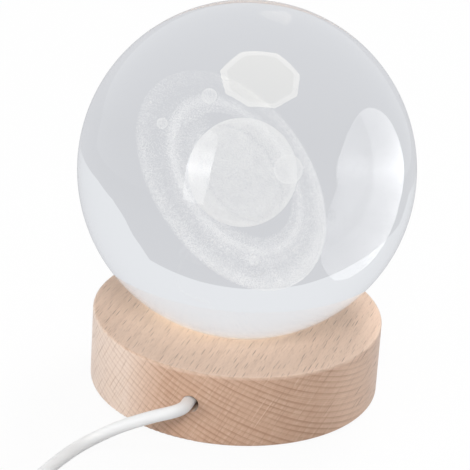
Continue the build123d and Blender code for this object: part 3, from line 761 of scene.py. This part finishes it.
def beechRays(tree, setup, place, across, facing, colour):
    # dark dashes on the face, dark or pale on the end, then long thin lines on the end grain
    ray, mood = fleckMask(tree, setup, place, setup["fleckCell"], setup["fleckStart"])
    small = fleckMask(tree, setup, place, setup["smallCell"], setup["smallFleckStart"])[0]
    pale = product(tree, rangeNode(tree, mood, *setup["paleRange"]),
                   rangeNode(tree, facing, *setup["paleTurn"]))
    rayColour = mixNode(tree, pale, setup["fleck"], setup["paleRay"])
    colour = mixNode(tree, product(tree, ray, rangeNode(tree, facing, *setup["fleckTurn"])),
                     colour, rayColour)
    colour = mixNode(tree, product(tree, small, setup["smallFleckShare"]), colour, setup["fleck"])
    sway = grainNoise(tree, place, setup["raySwaySize"])
    across = mathNode(tree, "MULTIPLY_ADD", sway, setup["raySway"], across)
    line = repeatedLine(tree, across, setup["raySpacing"], *setup["rayLine"])
    broken = grainNoise(tree, place, setup["rayBreakSize"])
    onEnd = product(tree, rangeNode(tree, facing, *setup["rayTurn"]),
                    rangeNode(tree, broken, *setup["rayBreak"]))
    line = product(tree, product(tree, line, onEnd), setup["rayShare"])
    return mixNode(tree, line, colour, setup["late"]), ray


def topEdgeHighlightMask(tree, setup, place):
    # painted highlight near the sanded top edge
    flat = vectorNode(tree, "LENGTH", vectorNode(tree, "MULTIPLY", place, (1.0, 1.0, 0.0)))
    inward = mathNode(tree, "SUBTRACT", flat, setup["edgeRadius"])
    apart = tree.nodes.new("ShaderNodeSeparateXYZ")
    tree.links.new(place, apart.inputs["Vector"])
    below = mathNode(tree, "SUBTRACT", apart.outputs["Z"], setup["edgeHeight"])
    away = mathNode(tree, "SQRT", mathNode(tree, "MULTIPLY_ADD", inward, inward, product(tree, below, below)))
    return rangeNode(tree, away, *setup["edgeHighlightFade"], 0.0, setup["edgeHighlightShare"])


def makeBeech(setup):
    material, nodes, links, shader = newMaterial(
        "beechWood", dict(zip(("Sheen Weight", "Sheen Roughness"), setup["sheen"])))
    tree = material.node_tree
    given = nodes.new("ShaderNodeTexCoord")
    # turned so that X runs across the rays, Y along the grain and Z across the growth rings
    turned = addNode(nodes, "ShaderNodeMapping", vector_type="POINT")
    lean = atan2(setup["ringLean"], sqrt(1 - setup["ringLean"]**2))
    turned.inputs["Rotation"].default_value = (0, -lean, 0)
    links.new(given.outputs["Object"], turned.inputs["Vector"])
    place = turned.outputs["Vector"]
    apart = nodes.new("ShaderNodeSeparateXYZ")
    links.new(place, apart.inputs["Vector"])
    # end grain faces along Y; the face toward X gets a painted sheen and the face toward -X painted shade
    facing, sideFacing = (vectorNode(tree, "DOT_PRODUCT", given.outputs["Normal"], axis)
                          for axis in ((0.0, 1.0, 0.0), (1.0, 0.0, 0.0)))
    facing = mathNode(tree, "ABSOLUTE", facing)
    rings = beechRings(tree, setup, place, apart.outputs["Z"], facing, sideFacing)
    colour = beechTone(tree, setup, place, facing, sideFacing)
    colour = mixNode(tree, rings, colour, setup["late"])
    colour, ray = beechRays(tree, setup, place, apart.outputs["X"], facing, colour)
    # pores: fine streaks along the grain
    pores = grainNoise(tree, place, setup["poreSize"])
    share = rangeNode(tree, pores, *setup["poreRange"], 0.0, setup["poreShare"])
    colour = mixNode(tree, share, colour, setup["late"])
    # painted highlight along the top edge
    colour = mixNode(tree, topEdgeHighlightMask(tree, setup, given.outputs["Object"]), colour, setup["edge"])
    links.new(colour, shader.inputs["Base Color"])
    links.new(rangeNode(tree, pores, *setup["roughRange"], *setup["roughness"]), shader.inputs["Roughness"])
    strength, distance = setup["relief"]
    relief = addNode(nodes, "ShaderNodeBump", {"Strength": strength, "Distance": distance})
    height = mathNode(tree, "MULTIPLY_ADD", ray, setup["fleckHeight"], pores)
    links.new(height, relief.inputs["Height"])
    links.new(relief.outputs["Normal"], shader.inputs["Normal"])
    return material


wear(nodesByName["wood_base"], makeBeech(beechSetup))
print("beech dressed")

# Each material: its CAD nodes, light and dark tone, roughness, grain, bump and other shader values
metal = {"Metallic": 1.0}
plainLooks = {
    "darkFoam": (["foot_pad"], (0.035, 0.035, 0.037), (0.02, 0.02, 0.02), 0.8, 1800.0, 0.6, {}),
    "coverBoard": (["bottom_cover"], (0.80, 0.80, 0.77), (0.74, 0.74, 0.71), 0.55, 1500.0, 0.1, {}),
    "screwSteel": (["cover_screws", "board_screws", "switch_screws"],
                   (0.62, 0.62, 0.64), (0.5, 0.5, 0.52), 0.28, 3000.0, 0.05, metal),
    "boardMask": (["led_board"], (0.86, 0.87, 0.84), (0.80, 0.81, 0.78), 0.3, 900.0, 0.05, {}),
    "ledPhosphor": (["leds"], (0.92, 0.75, 0.25), (0.85, 0.66, 0.2), 0.4, 3000.0, 0.05, {}),
    "chipBlack": (["resistors"], (0.03, 0.03, 0.035), (0.015, 0.015, 0.018), 0.5, 3000.0, 0.05, {}),
    "frostedWindow": (["lens_cover"], (0.9, 0.9, 0.9), (0.85, 0.85, 0.85), 0.5, 2500.0, 0.3,
                      {"Transmission_Weight": 0.3}),
    "brightSolder": (["solder_joints"], (0.7, 0.7, 0.72), (0.6, 0.6, 0.62), 0.2, 2000.0, 0.1, metal),
    "redVinyl": (["red_wire", "switch_red_wires"],
                 (0.6, 0.03, 0.02), (0.5, 0.02, 0.015), 0.35, 2000.0, 0.03, {}),
    "blackVinyl": (["black_wire", "switch_black_wire"],
                   (0.02, 0.02, 0.02), (0.012, 0.012, 0.012), 0.35, 2000.0, 0.03, {}),
    "naturalNylon": (["cable_tie"], (0.8, 0.8, 0.74), (0.72, 0.72, 0.66), 0.45, 2000.0, 0.05, {}),
    "tieVinyl": (["coil_tie"], (0.84, 0.84, 0.86), (0.78, 0.78, 0.8), 0.45, 2000.0, 0.1, {}),
    "switchShell": (["switch_lower_shell", "switch_upper_shell"],
                    (0.86, 0.86, 0.87), (0.82, 0.82, 0.83), 0.32, 2600.0, 0.06, {}),
    "switchCap": (["switch_button"], (0.84, 0.84, 0.85), (0.79, 0.79, 0.80), 0.38, 2600.0, 0.1, {}),
    "blackMoulding": (["switch_block", "plug_tongue"],
                      (0.03, 0.03, 0.03), (0.02, 0.02, 0.02), 0.5, 2000.0, 0.1, {}),
    "plugVinyl": (["plug_moulding"], (0.86, 0.86, 0.87), (0.82, 0.82, 0.83), 0.38, 1800.0, 0.1, {}),
    "nickelPlate": (["plug_shell"], (0.74, 0.74, 0.76), (0.66, 0.66, 0.68), 0.18, 2500.0, 0.03, metal),
    "goldFlash": (["plug_contacts"], (0.85, 0.62, 0.25), (0.75, 0.53, 0.2), 0.22, 2500.0, 0.03, metal),
}
for name, (nodeNames, *look, extra) in plainLooks.items():
    finish = skinMaterial(name, *look, **extra)
    for nodeName in nodeNames:
        wear(nodesByName[nodeName], finish)
print("finishes given")

stageSetup = {
    "floorHalf": 3.0,
    "floorColour": (0.74, 0.74, 0.74),
    "paper": (0.632, 0.64, 0.665),  # the sheet that the glass shows
    "backdrop": (0.81, 0.825, 0.85),
    "floorShare": 0.06,  # of the floor's white that follows its light and shade
    "paperStrength": (1.06, 1.0, 1.02),  # painted light and shade on the sheet: brighter next to the base, darker near 0.11 m where the ball's shadow falls; at the radii below
    "paperRadii": (0.06, 0.11, 0.3),
    # the sheet's outline: flat behind the lamp, its far edges curling up
    "sheet": ((-0.235, 0.6, 0), (-0.235, -0.15, 0), (-0.112, -0.23, 0), (-0.095, -0.30, 0),
              (-0.109, -0.40, 0), (-0.136, -0.536, 0), (-0.15, -0.69, 0.03), (-0.12, -0.70, 0.06),
              (-0.089, -0.70, 0.102), (-0.015, -0.70, 0.111), (0.08, -0.70, 0.123), (0.25, -0.74, 0.142),
              (0.44, -0.72, 0.15), (0.44, -0.41, 0.095), (0.44, -0.155, 0.06), (0.44, -0.1, 0),
              (0.44, 0.6, 0)),
    "sheetMiddle": (0.1, -0.2, 0.0),
    "sheetLift": 0.0002,  # off the floor
    # the window as the front of the ball mirrors it, and as its far side does
    "frontWindow": ((0.16, 0.9, 0.0), (0.15, 0.9, 0.12), (0.128, 0.9, 0.21), (0.135, 0.9, 0.39),
                    (0.133, 0.9, 0.50), (0.14, 0.9, 0.71), (0.165, 0.9, 0.86), (0.32, 0.9, 0.95),
                    (0.44, 0.9, 0.73), (0.44, 0.9, 0.39), (0.39, 0.9, 0.0)),
    "frontStrength": (2.7, 2.65, 2.75, 3.5, 6.2, 6.2, 4.4, 3.7, 2.1, 1.9),  # at the heights below
    "frontHeights": (0.0, 0.11, 0.19, 0.27, 0.35, 0.37, 0.45, 0.55, 0.67, 0.9),
    "farWindow": ((0.11, 0.9, 0.0), (0.10, 0.9, 0.38), (0.118, 0.9, 0.47), (0.10, 0.9, 0.62),
                  (0.098, 0.9, 0.82), (0.125, 0.9, 0.90), (0.32, 0.9, 0.96), (0.44, 0.9, 0.73),
                  (0.44, 0.9, 0.39), (0.39, 0.9, 0.0)),
    "farStrength": (2.8, 3.0, 3.5, 4.6, 5.3, 4.2, 3.6, 3.4, 3.0, 3.1, 2.5, 2.5),
    "farHeights": (0.0, 0.24, 0.30, 0.34, 0.375, 0.41, 0.45, 0.50, 0.56, 0.63, 0.70, 0.9),
    # the eight-sided soft box overhead: its middle, the radius of its paler rim and of its cloth
    "softBox": (-0.118, 0.06, 1.2),
    "softBoxStep": 0.01,  # the rim lies this far under its middle, and the cloth under the rim
    "softBoxRadii": (0.485, 0.40),
    "softBoxStrength": (4.7, 3.45),  # rim and cloth
    "softBoxColour": ((1.0, 0.96, 0.83), (1.0, 0.95, 0.76)),
    "fillStrength": 0.35,
}


def flatPiece(name, faces):
    shape = bmesh.new()
    for corners in faces:
        shape.faces.new([shape.verts.new(corner) for corner in corners])
    piece = bpy.data.objects.new(name, meshFromBmesh(name, shape))
    bpy.context.scene.collection.objects.link(piece)
    return piece


def emptyMaterial(name):
    material = bpy.data.materials.new(name)
    material.use_nodes = True
    material.node_tree.nodes.clear()
    return material, material.node_tree


def glowNode(tree, kind, colour, strength=1.0):
    return addNode(tree.nodes, kind, {"Color": (*colour, 1), "Strength": strength}).outputs[0]


def mixShaders(tree, share, first, second):
    node = tree.nodes.new("ShaderNodeMixShader")
    for socket, value in zip(node.inputs, (share, first, second)):
        if isinstance(value, float):
            socket.default_value = value
        else:
            tree.links.new(value, socket)
    return node.outputs["Shader"]


def rayKinds(tree):
    # 1 for the camera's own rays, and 1 for rays that a surface mirrored or glass let through
    ray = tree.nodes.new("ShaderNodeLightPath")
    return ray.outputs["Is Camera Ray"], mathNode(
        tree, "MAXIMUM", ray.outputs["Is Glossy Ray"], ray.outputs["Is Transmission Ray"])


def makeFloor(setup):
    half = setup["floorHalf"]
    corners = [(x * half, y * half, 0) for x, y in ((-1, -1), (1, -1), (1, 1), (-1, 1))]
    floor = flatPiece("studioFloor", [corners])
    material, tree = emptyMaterial("palePaper")
    fromCamera, fromGlass = rayKinds(tree)
    lit = addNode(tree.nodes, "ShaderNodeBsdfDiffuse", {"Color": (*setup["floorColour"], 1)}).outputs[0]
    white = glowNode(tree, "ShaderNodeEmission", (1, 1, 1))
    paper = glowNode(tree, "ShaderNodeEmission", setup["backdrop"])
    seen = mixShaders(tree, setup["floorShare"], white, lit)
    direct = mixShaders(tree, fromCamera, lit, seen)
    result = tree.nodes.new("ShaderNodeOutputMaterial")
    tree.links.new(mixShaders(tree, fromGlass, direct, paper), result.inputs["Surface"])
    wear(floor, material)


def makeShine(name, faces, colour, strengths, fade=None, mirrored=True, through=True):
    # seen only mirrored or through glass; its strength may change along an axis or with the radius
    shine = flatPiece(name, faces)
    material, tree = emptyMaterial(name)
    glow = addNode(tree.nodes, "ShaderNodeEmission", {"Color": (*colour, 1), "Strength": strengths[0]})
    if fade:
        axes, stops = fade
        place = tree.nodes.new("ShaderNodeTexCoord").outputs["Object"]
        along = vectorNode(tree, "LENGTH", vectorNode(tree, "MULTIPLY", place, axes))
        value = strengths[0]
        for low, high, before, after in zip(stops, stops[1:], strengths, strengths[1:]):
            value = mathNode(tree, "ADD", value, rangeNode(tree, along, low, high, 0.0, after - before))
        tree.links.new(value, glow.inputs["Strength"])
    result = tree.nodes.new("ShaderNodeOutputMaterial")
    tree.links.new(glow.outputs[0], result.inputs["Surface"])
    wear(shine, material)
    shine.visible_glossy = mirrored
    shine.visible_transmission = through
    for kind in ("camera", "diffuse", "shadow", "volume_scatter"):
        setattr(shine, "visible_" + kind, False)


def makeSurroundings(setup):
    edge = setup["sheet"]
    lift = Vector((0, 0, setup["sheetLift"]))
    middle = Vector(setup["sheetMiddle"]) + lift
    fan = [(middle, Vector(start) + lift, Vector(end) + lift)
           for start, end in zip(edge, edge[1:] + edge[:1])]
    makeShine("paperSheet", fan, setup["paper"], setup["paperStrength"],
              ((1.0, 1.0, 0.0), setup["paperRadii"]))
    for side in ("front", "far"):
        makeShine(side + "WindowPanel", [setup[side + "Window"]], (1, 1, 1), setup[side + "Strength"],
                  ((0.0, 0.0, 1.0), setup[side + "Heights"]), mirrored=side == "front", through=side == "far")
    x, y, height = setup["softBox"]
    turns = [radians(step * 45) for step in range(8)]
    for name, radius, strength, colour in zip(("softBoxRim", "softBoxCloth"), setup["softBoxRadii"],
                                              setup["softBoxStrength"], setup["softBoxColour"]):
        height -= setup["softBoxStep"]
        corners = [(x + radius * cos(turn), y + radius * sin(turn), height) for turn in turns]
        makeShine(name, [corners], colour, (strength,))


def makeWorld(setup):
    world = bpy.data.worlds.new("studio")
    bpy.context.scene.world = world
    world.use_nodes = True
    tree = world.node_tree
    tree.nodes.clear()
    fromCamera, fromGlass = rayKinds(tree)
    fill = glowNode(tree, "ShaderNodeBackground", (1, 1, 1), setup["fillStrength"])
    white = glowNode(tree, "ShaderNodeBackground", (1, 1, 1))
    around = glowNode(tree, "ShaderNodeBackground", setup["backdrop"])
    shown = mixShaders(tree, fromCamera, mixShaders(tree, fromGlass, fill, around), white)
    result = tree.nodes.new("ShaderNodeOutputWorld")
    tree.links.new(shown, result.inputs["Surface"])


# Each lamp: place, target, shape, size and power in watts
lampSetup = {
    "overheadLamp": ((-0.118, 0.06, 1.2), (-0.118, 0.06, 0), "DISK", (0.9, 0.9), 4.7),
    "backLamp": ((-0.1, -0.55, 1.0), (0, 0, 0.05), "DISK", (0.4, 0.4), 6.1),
    "frontLamp": ((-0.24, 0.86, 0.80), (0, 0, 0.03), "DISK", (0.25, 0.25), 3.8),
    "windowLamp": ((0.6, 0.7, 0.16), (0, 0, 0.02), "RECTANGLE", (0.34, 0.3), 2.9),
}
focusedLamps = ("overheadLamp", "backLamp")  # the ball gathers their light on the wood


def makeLamp(name, place, target, shape, size, power):
    data = bpy.data.lights.new(name, "AREA")
    data.shape = shape
    data.size, data.size_y = size
    data.energy = power
    data.cycles.is_caustics_light = name in focusedLamps
    lamp = bpy.data.objects.new(name, data)
    bpy.context.scene.collection.objects.link(lamp)
    lamp.location = place
    lamp.rotation_euler = (Vector(target) - Vector(place)).to_track_quat("-Z", "Y").to_euler()
    for kind in ("camera", "glossy", "transmission"):
        setattr(lamp, "visible_" + kind, False)


makeFloor(stageSetup)
makeSurroundings(stageSetup)
makeWorld(stageSetup)
for name, row in lampSetup.items():
    makeLamp(name, *row)
glassBall.cycles.is_caustics_caster = True
nodesByName["wood_base"].cycles.is_caustics_receiver = True
bpy.context.scene.view_settings.view_transform = "Standard"
print("stage set")

# What rides on what, and which CAD nodes each piece stands for
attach(glassBall, "ball")
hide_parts("crystal_ball")
for nodeName, pieces in (
    ("engraved_planet", planetDots), ("engraved_inner_ring", [*ringDots["innerRing"], hazeDots]),
    ("engraved_outer_ring", ringDots["outerRing"]), ("engraved_moons", [moonDots]),
):
    for piece in pieces:
        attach(piece, "ball")
        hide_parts(nodeName)
for cord, nodeNames in ((longCord, ["cord_inner", "cord_lead", "cord_coil", "cord_tail"]),
                        (shortCord, ["cord_end"])):
    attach(cord, "base")
    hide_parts(*nodeNames)
